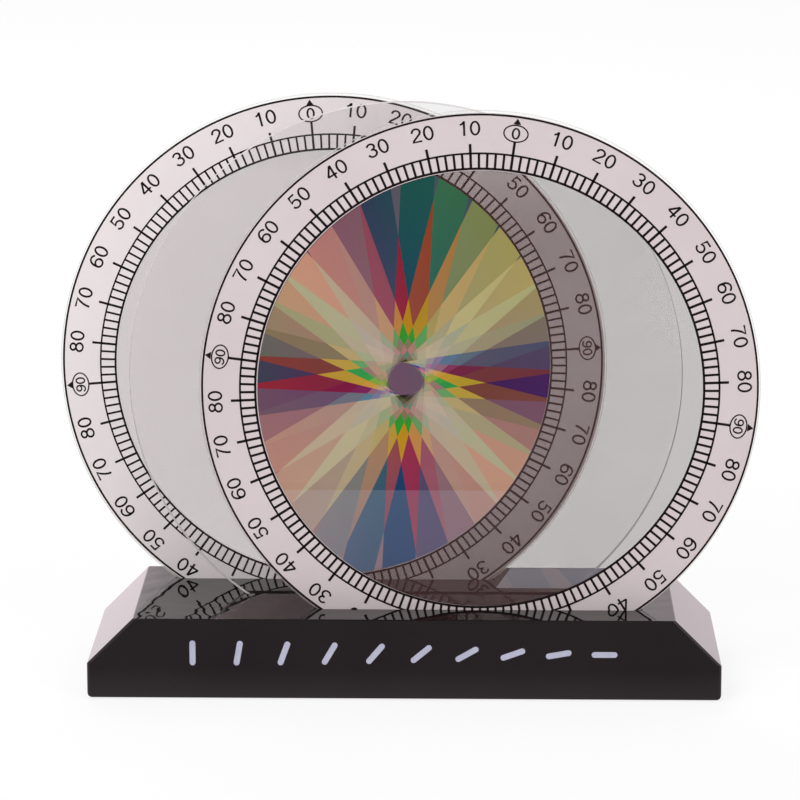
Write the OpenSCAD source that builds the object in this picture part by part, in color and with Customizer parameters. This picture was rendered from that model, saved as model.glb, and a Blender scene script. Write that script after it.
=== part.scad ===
// Polarization demonstrator: two turning polarizer discs with angle scales and a clear disc of
// crossed film strips between them, standing in three slots of a black base.
// Millimetres. The origin is on the surface that the feet stand on, under the middle of the base.
// +Z is up, +X is to the right and -Y is the front.

/* [Base shell] */
// Length of the base at its lower edge
base_length = 182; // [170:1:220]
// Depth of the base from front to back
base_depth = 58.5; // [56:0.5:80]
// Height of the base from its lower edge to its top face
base_height = 23.5; // [21.5:0.5:32]
// Height and width of the 45 degree slope at each end
end_slope = 13.5; // [10:0.5:15]
// Width of the bevel round the front and back faces
edge_bevel = 0.5; // [0.2:0.1:1]
// Thickness of the shell's walls
shell_wall = 2.2; // [1.6:0.1:2.8]

/* [Bottom cover] */
// Thickness of the bottom cover
cover_thickness = 2.4; // [2.2:0.1:3]
// Gap between the cover's edges and the shell's walls
cover_gap = 0.15; // [0.1:0.05:0.4]
// Depth of the pockets that the cradles stand in
cradle_pocket = 0.6; // [0.3:0.1:0.8]
// Gap round each cradle in its pocket
pocket_gap = 0.1; // [0.05:0.05:0.3]

/* [Discs] */
// Radius of all three discs
disc_radius = 80; // [76:0.5:82]
// How deep the discs' rims reach below the base's top face
disc_sink = 15.1; // [10:0.1:16]
// How far the front disc stands to the right and the rear disc to the left
disc_shift = 21.3; // [0:0.1:24]
// Thickness of each clear pane
pane_thickness = 0.8; // [0.6:0.1:1.2]

/* [Polarizers] */
// Thickness of the polarizing film between its two panes
film_thickness = 0.2; // [0.1:0.05:0.4]
// Clear margin of the panes outside the polarizing film
film_margin = 1; // [0.5:0.1:4]
// Thickness of the printed scale ring on the front pane
ring_thickness = 0.25; // [0.1:0.05:0.4]
// Clear margin of the front pane outside the scale ring
ring_margin = 0.6; // [0.2:0.1:2]
// Width of the scale ring, from its rim to the round window in it
ring_width = 15.7; // [10:0.1:25]

/* [Pattern strips] */
// Width of each clear film strip
strip_width = 9.6; // [8:0.1:12]
// Thickness of each clear film strip
strip_thickness = 0.04; // [0.02:0.01:0.06]
// Clear margin of the panes outside the trimmed ends of the strips
strip_margin = 2; // [1:0.5:6]
// Lean of the first strip from upright, clockwise from the front
first_strip_lean = 2.7; // [-6:0.1:6]

/* [Slots] */
// Distance from the base's front or back face to the middle of the nearest slot
slot_inset = 12.55; // [10:0.05:15]
// Gap between a disc's faces and the walls of its slot
slot_side_gap = 0.3; // [0.2:0.05:0.5]
// Gap between a disc's rim and the ends of its slot at the top face
slot_end_gap = 0.4; // [0.3:0.1:1]
// Gap between a disc's rim and the seat of its cradle
seat_gap = 0.3; // [0.2:0.05:0.4]

/* [Cradles] */
// Thickness of a cradle's two side plates
cradle_wall = 1.6; // [1.2:0.1:2]
// Thickness of the curved seat between the side plates
seat_thickness = 2; // [1.4:0.1:2.4]
// How far a cradle runs past each end of its slot
cradle_overrun = 3; // [2:0.5:4]

/* [Screws] */
// Radius of a screw's shank
screw_radius = 1.45; // [1.2:0.05:1.6]
// Length of a screw under its head
screw_length = 8; // [6:0.5:10]
// Radius of a screw's head
screw_head_radius = 2.75; // [2.3:0.05:3]
// Height of a screw's head
screw_head_height = 1.5; // [1.2:0.1:1.6]
// Gap round a screw's shank in its boss
screw_gap = 0.05; // [0.02:0.01:0.1]
// Gap round a screw's shank and head in the cover
cover_hole_gap = 0.2; // [0.1:0.05:0.3]
// Depth of a screw's head below the cover's underside
head_sink = 0.1; // [0:0.05:0.2]
// Width of the cross slots in a screw's head
drive_width = 0.7; // [0.5:0.1:0.9]
// Depth of the cross slots in a screw's head
drive_depth = 0.8; // [0.5:0.1:1]
// Wall of a boss round its screw
boss_wall = 1.8; // [1.4:0.1:2.2]
// Distance from a boss's centre to the shell's end
boss_end_inset = 10.5; // [9:0.5:13]
// Distance from a boss's centre to the shell's front or back face
boss_side_inset = 9; // [8:0.5:11]

/* [Feet] */
// Radius of a rubber foot
foot_radius = 5; // [4:0.5:6]
// Thickness of a rubber foot
foot_thickness = 1.5; // [1.2:0.1:1.8]
// How far a foot stands out under the base
foot_stand = 0.5; // [0.3:0.1:0.8]
// Gap round a foot in its recess
foot_gap = 0.1; // [0.05:0.05:0.3]
// Distance from a foot's centre to the shell's end
foot_end_inset = 25; // [22:0.5:32]
// Distance from a foot's centre to the shell's front or back face
foot_side_inset = 10; // [9:0.5:14]

/* [Hidden] */
$fn = 96;
// Overshoot of a cut past the face that it opens
cut = 1;
// The strips cross at the middle of the disc and share half a turn evenly
strip_count = 16;
strip_step = 180 / strip_count;

// Heights, from the surface that the feet stand on
base_floor = foot_stand;
base_top = base_floor + base_height;
shell_ceiling = base_top - shell_wall;
cover_top = base_floor + cover_thickness;
disc_rise = disc_radius - disc_sink;
disc_centre = base_top + disc_rise;
side_height = base_height - end_slope;

// The three slots, as [sideways place, front to back place]
slot_pitch = base_depth / 2 - slot_inset;
front_slot = [disc_shift, -slot_pitch];
middle_slot = [0, 0];
rear_slot = [-disc_shift, slot_pitch];

// Radii of what lies on and between the panes
film_radius = disc_radius - film_margin;
ring_radius = disc_radius - ring_margin;
window_radius = ring_radius - ring_width;
strip_reach = disc_radius - strip_margin;

// Thickness of a polarizer disc and of the pattern disc, and the slots that take them
polarizer_thickness = ring_thickness + 2 * pane_thickness + film_thickness;
strips_thickness = strip_count * strip_thickness;
pattern_thickness = 2 * pane_thickness + strips_thickness;
polarizer_slot = polarizer_thickness + 2 * slot_side_gap;
pattern_slot = pattern_thickness + 2 * slot_side_gap;
slot_half_length = sqrt(pow(disc_radius, 2) - pow(disc_rise, 2)) + slot_end_gap;
cradle_half_length = slot_half_length + cradle_overrun;
cradle_floor = cover_top - cradle_pocket;
seat_radius = disc_radius + seat_gap;

// Shares of the wall that the 45 degree corners take up when an outline moves inwards
slope_share = sqrt(2) - 1;
bore_radius = screw_radius + screw_gap;
boss_radius = bore_radius + boss_wall;
boss_x = base_length / 2 - boss_end_inset;
boss_y = base_depth / 2 - boss_side_inset;
foot_x = base_length / 2 - foot_end_inset;
foot_y = base_depth / 2 - foot_side_inset;
screw_head_floor = base_floor + head_sink;
screw_shoulder = screw_head_floor + screw_head_height;
bore_top = screw_shoulder + screw_length + cut;
end_signs = [-1, 1];

// The end view of the base, moved inwards by inset on every side but the floor
function base_outline(inset) = let(
    half = base_length / 2 - inset,
    shoulder = base_floor + side_height - slope_share * inset,
    top = base_top - inset,
    top_half = base_length / 2 - end_slope - slope_share * inset
) [
    [-half, base_floor], [half, base_floor], [half, shoulder],
    [top_half, top], [-top_half, top], [-half, shoulder]
];

// An outline in X and Z, extruded front to back and centred on Y
module front_to_back(depth) {
    translate([0, depth / 2, 0])
        rotate([90, 0, 0])
            linear_extrude(height = depth)
                children();
}

// A disc on edge: its front face is at front_y and it is thick towards the back
module standing_disc(radius, thickness, place, front_y) {
    translate([place[0], front_y, disc_centre])
        rotate([-90, 0, 0])
            cylinder(r = radius, h = thickness, $fn = 180);
}

// The shell's outside, with its front and back faces bevelled
module base_body() {
    hull() {
        front_to_back(base_depth - 2 * edge_bevel)
            polygon(base_outline(0));
        front_to_back(base_depth)
            polygon(base_outline(edge_bevel));
    }
}

// The room inside the shell's walls, open at the floor
module base_room() {
    difference() {
        front_to_back(base_depth - 2 * shell_wall)
            polygon(base_outline(shell_wall));
        screw_bosses();
    }
    translate([-base_length / 2 + shell_wall, -base_depth / 2 + shell_wall, base_floor - cut])
        cube([base_length - 2 * shell_wall, base_depth - 2 * shell_wall, cut + cover_thickness]);
}

// The four bosses that the cover is screwed to, from the cover up into the slopes
module screw_bosses() {
    for (sx = end_signs, sy = end_signs)
        translate([sx * boss_x, sy * boss_y, cover_top])
            cylinder(r = boss_radius, h = base_height);
}

module slot_cut(place, width) {
    translate([place[0] - slot_half_length, place[1] - width / 2, shell_ceiling - cut])
        cube([2 * slot_half_length, width, shell_wall + 2 * cut]);
}

module base_shell() {
    color([0.14, 0.12, 0.13])
        difference() {
            base_body();
            base_room();
            slot_cut(front_slot, polarizer_slot);
            slot_cut(middle_slot, pattern_slot);
            slot_cut(rear_slot, polarizer_slot);
            for (sx = end_signs, sy = end_signs)
                translate([sx * boss_x, sy * boss_y, cover_top - cut])
                    cylinder(r = bore_radius, h = bore_top - cover_top + cut);
        }
}

// The block that a cradle fills, wider by gap on each side
module cradle_block(place, slot_width, gap, height) {
    half_length = cradle_half_length + gap;
    half_width = slot_width / 2 + cradle_wall + gap;
    translate([place[0] - half_length, place[1] - half_width, cradle_floor])
        cube([2 * half_length, 2 * half_width, height]);
}

// Two side plates that keep a disc upright, joined by the curved seat under its rim
module cradle(place, slot_width) {
    color([0.1, 0.1, 0.1])
        difference() {
            cradle_block(place, slot_width, 0, shell_ceiling - cradle_floor);
            standing_disc(seat_radius, slot_width, place, place[1] - slot_width / 2);
            difference() {
                translate([
                    place[0] - cradle_half_length - cut, place[1] - slot_width / 2,
                    cradle_floor - cut
                ])
                    cube([
                        2 * cradle_half_length + 2 * cut, slot_width,
                        shell_ceiling - cradle_floor + 2 * cut
                    ]);
                standing_disc(
                    seat_radius + seat_thickness, slot_width + 2 * cut, place,
                    place[1] - slot_width / 2 - cut
                );
            }
        }
}

module bottom_cover() {
    cover_length = base_length - 2 * (shell_wall + cover_gap);
    cover_depth = base_depth - 2 * (shell_wall + cover_gap);
    color([0.12, 0.12, 0.12])
        difference() {
            translate([-cover_length / 2, -cover_depth / 2, base_floor])
                cube([cover_length, cover_depth, cover_thickness]);
            cradle_block(front_slot, polarizer_slot, pocket_gap, cradle_pocket + cut);
            cradle_block(middle_slot, pattern_slot, pocket_gap, cradle_pocket + cut);
            cradle_block(rear_slot, polarizer_slot, pocket_gap, cradle_pocket + cut);
            for (sx = end_signs, sy = end_signs) {
                translate([sx * boss_x, sy * boss_y, base_floor - cut])
                    cylinder(r = screw_radius + cover_hole_gap, h = cover_thickness + 2 * cut);
                translate([sx * boss_x, sy * boss_y, base_floor - cut])
                    cylinder(
                        r = screw_head_radius + cover_hole_gap,
                        h = head_sink + screw_head_height + cut
                    );
                translate([sx * foot_x, sy * foot_y, base_floor - cut])
                    cylinder(
                        r = foot_radius + foot_gap,
                        h = foot_thickness - foot_stand + cut
                    );
            }
        }
}

// One screw, head down, with a cross drive in its head
module cover_screw() {
    difference() {
        union() {
            translate([0, 0, screw_head_floor])
                cylinder(r = screw_head_radius, h = screw_head_height);
            translate([0, 0, screw_shoulder])
                cylinder(r = screw_radius, h = screw_length);
        }
        for (turn = [0, 90])
            rotate([0, 0, turn])
                translate([-screw_radius, -drive_width / 2, screw_head_floor - cut])
                    cube([2 * screw_radius, drive_width, drive_depth + cut]);
    }
}

module cover_screws() {
    color([0.6, 0.6, 0.58])
        for (sx = end_signs, sy = end_signs)
            translate([sx * boss_x, sy * boss_y, 0])
                cover_screw();
}

// A rubber foot at the given end and side, each -1 or 1
module rubber_foot(end, side) {
    color([0.2, 0.2, 0.2])
        translate([end * foot_x, side * foot_y, 0])
            cylinder(r = foot_radius, h = foot_thickness);
}

// The layers of a polarizer disc, from its printed ring at the front to its back pane
module scale_ring(place) {
    front_y = place[1] - polarizer_thickness / 2;
    color([0.85, 0.81, 0.82])
        difference() {
            standing_disc(ring_radius, ring_thickness, place, front_y);
            standing_disc(window_radius, ring_thickness + 2 * cut, place, front_y - cut);
        }
}

module polarizer_face_pane(place) {
    color([0.85, 0.87, 0.88, 0.35])
        standing_disc(
            disc_radius, pane_thickness, place,
            place[1] - polarizer_thickness / 2 + ring_thickness
        );
}

module polarizing_film(place) {
    color([0.6, 0.57, 0.56, 0.5])
        standing_disc(
            film_radius, film_thickness, place,
            place[1] + polarizer_thickness / 2 - pane_thickness - film_thickness
        );
}

module polarizer_back_pane(place) {
    color([0.85, 0.87, 0.88, 0.35])
        standing_disc(
            disc_radius, pane_thickness, place,
            place[1] + polarizer_thickness / 2 - pane_thickness
        );
}

// A clear pane of the pattern disc: its front face is at front_y
module pattern_pane(front_y) {
    color([0.88, 0.9, 0.92, 0.3])
        standing_disc(disc_radius, pane_thickness, middle_slot, front_y);
}

// One clear strip across the pattern disc, laid on the strips before it
module film_strip(number) {
    layer_y = -strips_thickness / 2 + (number - 1) * strip_thickness;
    lean = first_strip_lean + (number - 1) * strip_step;
    color([0.9, 0.75 - 0.03 * number, 0.3 + 0.04 * number])
        intersection() {
            standing_disc(strip_reach, strip_thickness, middle_slot, layer_y);
            translate([0, 0, disc_centre])
                rotate([0, lean, 0])
                    translate([-strip_width / 2, layer_y - cut, -disc_radius])
                        cube([strip_width, strip_thickness + 2 * cut, 2 * disc_radius]);
        }
}

base_shell();
bottom_cover();
cover_screws();
rubber_foot(-1, -1);  // foot_front_left
rubber_foot(1, -1);  // foot_front_right
rubber_foot(-1, 1);  // foot_rear_left
rubber_foot(1, 1);  // foot_rear_right
cradle(front_slot, polarizer_slot);  // front_cradle
cradle(middle_slot, pattern_slot);  // middle_cradle
cradle(rear_slot, polarizer_slot);  // rear_cradle
scale_ring(front_slot);  // front_scale_ring
polarizer_face_pane(front_slot);  // front_face_pane
polarizing_film(front_slot);  // front_polarizing_film
polarizer_back_pane(front_slot);  // front_back_pane
pattern_pane(-pattern_thickness / 2);  // pattern_face_pane
pattern_pane(strips_thickness / 2);  // pattern_back_pane
film_strip(1);  // film_strip_01
film_strip(2);  // film_strip_02
film_strip(3);  // film_strip_03
film_strip(4);  // film_strip_04
film_strip(5);  // film_strip_05
film_strip(6);  // film_strip_06
film_strip(7);  // film_strip_07
film_strip(8);  // film_strip_08
film_strip(9);  // film_strip_09
film_strip(10);  // film_strip_10
film_strip(11);  // film_strip_11
film_strip(12);  // film_strip_12
film_strip(13);  // film_strip_13
film_strip(14);  // film_strip_14
film_strip(15);  // film_strip_15
film_strip(16);  // film_strip_16
scale_ring(rear_slot);  // rear_scale_ring
polarizer_face_pane(rear_slot);  // rear_face_pane
polarizing_film(rear_slot);  // rear_polarizing_film
polarizer_back_pane(rear_slot);  // rear_back_pane
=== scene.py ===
"""Looks of a polarization demonstrator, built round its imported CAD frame.

Sizes are in millimetres, as on a maker's drawing, and the meshes are written in metres. The origin
is on the surface that the feet stand on, under the middle of the base. +Z is up, +X is to the right
as the discs are looked at from the front, and -Y is the front.
"""

import logging
import math
from collections.abc import Iterable, Sequence
from dataclasses import dataclass, field, replace
from enum import Enum

import bmesh
import bpy
import numpy as np
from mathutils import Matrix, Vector


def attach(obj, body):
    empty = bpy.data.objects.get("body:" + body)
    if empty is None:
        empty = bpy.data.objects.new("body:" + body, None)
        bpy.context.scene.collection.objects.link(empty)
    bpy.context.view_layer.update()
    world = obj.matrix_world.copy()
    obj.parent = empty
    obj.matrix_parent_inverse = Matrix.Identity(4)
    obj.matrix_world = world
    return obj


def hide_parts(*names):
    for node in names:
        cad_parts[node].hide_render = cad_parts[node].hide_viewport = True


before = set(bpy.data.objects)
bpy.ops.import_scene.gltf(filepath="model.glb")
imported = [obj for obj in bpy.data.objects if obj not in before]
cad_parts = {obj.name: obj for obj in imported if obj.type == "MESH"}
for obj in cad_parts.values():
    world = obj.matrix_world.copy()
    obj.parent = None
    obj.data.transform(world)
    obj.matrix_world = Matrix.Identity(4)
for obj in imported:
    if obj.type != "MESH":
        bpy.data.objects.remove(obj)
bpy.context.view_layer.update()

MM = 0.001

log = logging.getLogger("demonstrator")

Flat = tuple[float, float]
Place = tuple[float, float, float]
Colour = tuple[float, float, float]
Socket = bpy.types.NodeSocket
Inputs = dict[str | int, Socket | float | Sequence[float]]

# Edges flatter than this angle are shaded smooth, in degrees. The lengths are in millimetres.
SMOOTH_BELOW = 30.0
PANE_EDGE = 0.12
DISC_STEPS = 256
PRINT_STAND = 0.02
WINDOW_GAP = 0.1
SHEET_GAPS = {"front": 0.2, "rear": 0.03, "base": 0.15}
WHITE = (1.0, 1.0, 1.0)
MIRROR_TINT = (1.0, 0.89, 0.925)


class Axis(Enum):
    """The axis that a turned shape is turned about."""

    Y = "front to back"
    Z = "upright"


class Side(Enum):
    """The side that a flat layer faces."""

    FRONT = -1
    BACK = 1


class Ray(Enum):
    """A kind of ray that is shown something of its own."""

    CAMERA = "Is Camera Ray"
    GLOSSY = "Is Glossy Ray"


# Finishes


class Wiring:
    """A tree of shader nodes, with short calls for adding to it."""

    def __init__(self, tree: bpy.types.NodeTree) -> None:
        """Keeps the tree that the nodes go in."""
        self.tree = tree

    def node(self, kind: str, inputs: Inputs, output: str | int = 0, **settings: str) -> Socket:
        """Adds a node.

        Args:
            kind: Its type, without the word that all types begin with.
            inputs: A value or another node's output for each input, by name or number.
            output: Which of its outputs is given back.
            **settings: Its own settings.

        Returns:
            The output.
        """
        node = self.tree.nodes.new("ShaderNode" + kind)
        for name, value in settings.items():
            setattr(node, name, value)
        for key, value in inputs.items():
            if isinstance(value, Socket):
                self.tree.links.new(value, node.inputs[key])
            else:
                node.inputs[key].default_value = value
        return node.outputs[output]

    def show(self, kind: str, shader: Socket) -> None:
        """Ends the tree, which was emptied, in an output node of some kind."""
        self.tree.links.new(shader, self.tree.nodes.new("ShaderNode" + kind).inputs["Surface"])

    def part(self, vector: Socket, axis: str) -> Socket:
        """Gives a vector's part along one axis."""
        return self.node("SeparateXYZ", {0: vector}, axis)

    def combine(self, operation: str, first: Socket, second: Socket) -> Socket:
        """Adds or multiplies two values."""
        return self.node("Math", {0: first, 1: second}, operation=operation)

    def spread(self, source: Socket, low: float, high: float, start: float = 0.3, end: float = 0.7) -> Socket:
        """Maps a value to a range, so that start gives low and end gives high."""
        ends = {"From Min": start, "From Max": end, "To Min": low, "To Max": high}
        return self.node("MapRange", {"Value": source, **ends}, "Result")

    def ramp(self, source: Socket, tint: Colour, stops: Sequence[Flat]) -> Socket:
        """Gives a tint whose strength changes with a value.

        Args:
            source: The value, from 0 to 1.
            tint: The tint at a strength of 1.
            stops: Some of the values, and the strength at each.

        Returns:
            The colour.
        """
        colour = self.node("ValToRGB", {"Fac": source}, "Color")
        elements = colour.node.color_ramp.elements
        while len(elements) < len(stops):
            elements.new(0.5)
        for element, (at, strength) in zip(elements, stops):
            element.position = at
            element.color = (*(strength * part for part in tint), 1.0)
        return colour

    def choose(self, ray: Ray, shown: Socket, otherwise: Socket) -> Socket:
        """Shows one kind of ray a shader of its own, and the other rays another one."""
        share = self.node("LightPath", {}, ray.value)
        return self.node("MixShader", {"Fac": share, 1: otherwise, 2: shown})


class Recipe(Wiring):
    """A material's nodes, with short calls for what the finishes need."""

    def __init__(self, name: str) -> None:
        """Starts a material that has one Principled shader.

        Args:
            name: The material's name.
        """
        self.material = bpy.data.materials.new(name)
        self.material.use_nodes = True
        super().__init__(self.material.node_tree)
        self.shader = self.tree.nodes["Principled BSDF"]
        self.place = self.node("TexCoord", {}, "Object")

    def set(self, **values: float | Sequence[float]) -> None:
        """Sets the shader's own sockets.

        Args:
            **values: Socket names in lower case with underscores, and their values.
        """
        for name, value in values.items():
            for socket in self.shader.inputs:
                if socket.name.lower() == name.replace("_", " "):
                    socket.default_value = (*value, 1.0) if socket.type == "RGBA" else value

    def feed(self, source: Socket, name: str) -> None:
        """Links a value to one of the shader's sockets."""
        self.tree.links.new(source, self.shader.inputs[name])

    def noise(self, per_metre: float, detail: float, stretch: Place = (1.0, 1.0, 1.0)) -> Socket:
        """Adds noise in the piece's own space, denser by the stretch along each axis."""
        scaled = self.node("Mapping", {"Vector": self.place, "Scale": stretch})
        return self.node("TexNoise", {"Vector": scaled, "Scale": per_metre, "Detail": detail}, "Fac")

    def blend(self, amount: Socket, first: Colour, second: Colour) -> Socket:
        """Mixes two colours: an amount of 0 gives the first and 1 the second."""
        ends = {"A": (*first, 1.0), "B": (*second, 1.0)}
        return self.node("Mix", {"Factor": amount, **ends}, "Result", data_type="RGBA")

    def facing_up(self, source: Socket) -> Socket:
        """Keeps a value on level faces and fades it out on faces that slope or stand."""
        level = self.part(self.node("NewGeometry", {}, "True Normal"), "Z")
        return self.combine("MULTIPLY", self.spread(level, 0.1, 1.0, 0.8, 0.97), source)

    def relief(self, source: Socket, depth_mm: float) -> None:
        """Bumps the surface, on top of what it was bumped by before.

        Args:
            source: The height, from 0 to 1.
            depth_mm: How high 1 stands above 0.
        """
        before = {"Normal": link.from_socket for link in self.shader.inputs["Normal"].links}
        bump = self.node("Bump", {"Height": source, "Distance": depth_mm * MM, **before}, "Normal")
        self.feed(bump, "Normal")


@dataclass(frozen=True)
class Finish:
    """What a surface looks like. Its slot is another name for it, which is not used.

    A noise is given by how many waves fit in a metre and by its number of finer octaves.
    """

    name: str
    slot: str

    def material(self) -> bpy.types.Material:
        """Makes the material.

        Returns:
            The material.
        """
        recipe = Recipe(self.name)
        self.mix(recipe)
        return recipe.material

    def mix(self, recipe: Recipe) -> None:
        """Wires the material. Each kind of finish does it in its own way."""
        raise NotImplementedError


@dataclass(frozen=True)
class OpaqueFinish(Finish):
    """A finish of two tones in soft clouds, with an uneven polish and a grain."""

    dark: Colour
    light: Colour
    polish: Flat
    clouds: Flat
    smears: Flat
    grain: Flat
    grain_mm: float
    sockets: tuple[tuple[str, float], ...]

    def mix(self, recipe: Recipe) -> None:
        """Wires the material.

        Args:
            recipe: The material in the making.
        """
        recipe.set(**dict(self.sockets))
        clouds = recipe.spread(recipe.noise(*self.clouds), 0.0, 1.0)
        recipe.feed(recipe.blend(clouds, self.dark, self.light), "Base Color")
        recipe.feed(recipe.spread(recipe.noise(*self.smears), *self.polish), "Roughness")
        if self.grain_mm:
            recipe.relief(recipe.noise(*self.grain), self.grain_mm)


@dataclass(frozen=True)
class MouldedPlastic(OpaqueFinish):
    """Black moulded plastic, from polished to matt, which may be wavy where it is level."""

    dark: Colour = (0.007, 0.004, 0.005)
    light: Colour = (0.011, 0.007, 0.008)
    polish: Flat = (0.05, 0.11)
    clouds: Flat = (28.0, 4.0)
    smears: Flat = (65.0, 6.0)
    grain: Flat = (2600.0, 3.0)
    grain_mm: float = 0.0
    sockets: tuple[tuple[str, float], ...] = (("ior", 1.5),)
    ripple_mm: float = 0.0
    ripples: tuple[Flat, ...] = ((130.0, 1.0), (290.0, 0.25))

    def mix(self, recipe: Recipe) -> None:
        """Wires the material.

        Args:
            recipe: The material in the making.
        """
        super().mix(recipe)
        if self.ripple_mm:
            for per_metre, share in self.ripples:
                recipe.relief(recipe.facing_up(recipe.noise(per_metre, 0.0)), self.ripple_mm * share)


@dataclass(frozen=True)
class SoftRubber(OpaqueFinish):
    """Matt black rubber with a fine grain."""

    name: str = "matt_rubber"
    slot: str = "foot_rubber"
    dark: Colour = (0.022, 0.022, 0.022)
    light: Colour = (0.040, 0.039, 0.038)
    polish: Flat = (0.72, 0.9)
    clouds: Flat = (260.0, 5.0)
    smears: Flat = (700.0, 3.0)
    grain: Flat = (3200.0, 4.0)
    grain_mm: float = 0.03
    sockets: tuple[tuple[str, float], ...] = (("specular_ior_level", 0.3),)


@dataclass(frozen=True)
class PlatedSteel(OpaqueFinish):
    """Zinc plated steel of a small screw."""

    name: str = "plated_steel"
    slot: str = "screw_steel"
    dark: Colour = (0.45, 0.45, 0.44)
    light: Colour = (0.66, 0.66, 0.63)
    polish: Flat = (0.22, 0.42)
    clouds: Flat = (900.0, 5.0)
    smears: Flat = (1500.0, 4.0)
    grain: Flat = (4000.0, 2.0)
    grain_mm: float = 0.01
    sockets: tuple[tuple[str, float], ...] = (("metallic", 1.0),)


@dataclass(frozen=True)
class PrintedSheet(OpaqueFinish):
    """Pale sheet that a scale is printed on: nearly even, with a faint grain."""

    name: str = "pale_sheet"
    slot: str = "scale_white"
    dark: Colour = (0.730, 0.633, 0.646)
    light: Colour = (0.780, 0.682, 0.696)
    polish: Flat = (0.34, 0.46)
    clouds: Flat = (22.0, 5.0)
    smears: Flat = (180.0, 4.0)
    grain: Flat = (2400.0, 3.0)
    grain_mm: float = 0.004
    sockets: tuple[tuple[str, float], ...] = (("specular_ior_level", 0.35),)


@dataclass(frozen=True)
class Ink(OpaqueFinish):
    """Printed ink."""

    polish: Flat = (0.4, 0.55)
    clouds: Flat = (420.0, 5.0)
    smears: Flat = (900.0, 3.0)
    grain: Flat = (5000.0, 2.0)
    grain_mm: float = 0.004
    sockets: tuple[tuple[str, float], ...] = (("specular_ior_level", 0.15),)


@dataclass(frozen=True)
class ClearSheet(Finish):
    """Clear sheet plastic or film, with faint smears that catch the light.

    The painted top shade is how much more it covers towards the top, as painted shade, and the heights in
    millimetres between which it grows.
    """

    tone: Colour
    cover: Flat
    roughness: float = 0.06
    top_haze: Place | None = None
    ior: float = 1.49
    smears: Flat = (34.0, 6.0)
    smear_stretch: Place = (1.0, 1.0, 0.6)
    waves: Flat = (40.0, 1.0)
    wave_mm: float = 0.001

    def mix(self, recipe: Recipe) -> None:
        """Wires the material.

        Args:
            recipe: The material in the making.
        """
        recipe.set(base_color=self.tone, roughness=self.roughness, ior=self.ior)
        cover = recipe.spread(recipe.noise(*self.smears, self.smear_stretch), *self.cover)
        # Painted shade: the pane covers more towards the top, which darkens what is seen through it there.
        if self.top_haze:
            more, start, end = self.top_haze
            haze = recipe.spread(recipe.part(recipe.place, "Z"), 0.0, more, start * MM, end * MM)
            cover = recipe.combine("ADD", cover, haze)
        recipe.feed(cover, "Alpha")
        recipe.relief(recipe.noise(*self.waves), self.wave_mm)


@dataclass(frozen=True)
class PaintedFilm(Finish):
    """Film whose colour and cover are written in a layer of the mesh, with faint streaks."""

    layer: str
    roughness: float
    specular: float = 0.3
    streaks: Flat = (300.0, 3.0)
    streak_mm: float = 0.003

    def mix(self, recipe: Recipe) -> None:
        """Wires the material.

        Args:
            recipe: The material in the making.
        """
        recipe.set(roughness=self.roughness, specular_ior_level=self.specular)
        colour = recipe.node("VertexColor", {}, "Color", layer_name=self.layer)
        recipe.feed(colour, "Base Color")
        recipe.feed(colour.node.outputs["Alpha"], "Alpha")
        recipe.relief(recipe.noise(*self.streaks), self.streak_mm)


class Shelf:
    """The finishes in use, each made once."""

    gloss_black = MouldedPlastic("gloss_black", "base_gloss_black", polish=(0.02, 0.05), ripple_mm=0.07)
    satin_black = MouldedPlastic("satin_black", "cradle_black", polish=(0.35, 0.5), grain_mm=0.01)
    matt_black = MouldedPlastic("matt_black", "cover_black", polish=(0.55, 0.7), grain_mm=0.03)
    rubber = SoftRubber()
    steel = PlatedSteel()
    sheet = PrintedSheet()
    # A lighter copy of the pale sheet for the rear ring: painted light, which shows the rear ring more
    # brightly lit than the front ring.
    bright_sheet = PrintedSheet("bright_sheet", dark=(0.93, 0.85, 0.855), light=(0.97, 0.89, 0.895))
    black_ink = Ink("black_ink", "base_gloss_black", (0.009, 0.004, 0.005), (0.016, 0.009, 0.010))
    lavender_ink = Ink("lavender_ink", "scale_white", (0.52, 0.52, 0.66), (0.60, 0.60, 0.75))
    pane = ClearSheet("clear_pane", "clear_pane", (0.50, 0.47, 0.48), (0.025, 0.035))
    # The middle disc's panes, painted darker towards the top as painted shade.
    hazy_pane = ClearSheet(
        "hazy_pane", "clear_pane", (0.30, 0.28, 0.285), (0.026, 0.034), top_haze=(0.052, 148.0, 158.0)
    )
    rim = ClearSheet("pane_rim", "clear_pane", (0.80, 0.75, 0.71), (0.35, 0.45), 0.3)
    # A paler, nearly opaque copy of the rim for the middle disc: a painted highlight along its rim.
    lit_rim = ClearSheet("lit_rim", "clear_pane", (0.79, 0.745, 0.75), (0.92, 1.0), 0.3)
    front_film = ClearSheet("front_polarizer", "polarizing_film", (0.072, 0.011, 0.008), (0.47, 0.49), 0.1)
    rear_film = ClearSheet("rear_polarizer", "polarizing_film", (0.19, 0.004, 0.008), (0.40, 0.42), 0.1)
    strips = PaintedFilm("clear_strips", "clear_strip", "strip_haze", 0.15)
    colours = PaintedFilm("interference_colours", "clear_strip", "tint", 0.12)
    made: dict[str, bpy.types.Material] = {}

    @classmethod
    def take(cls, finish: Finish) -> bpy.types.Material:
        """Gives a finish's material, made at its first use.

        Args:
            finish: The finish.

        Returns:
            Its material.
        """
        if finish.name not in cls.made:
            cls.made[finish.name] = finish.material()
        return cls.made[finish.name]


# Shapes


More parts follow.
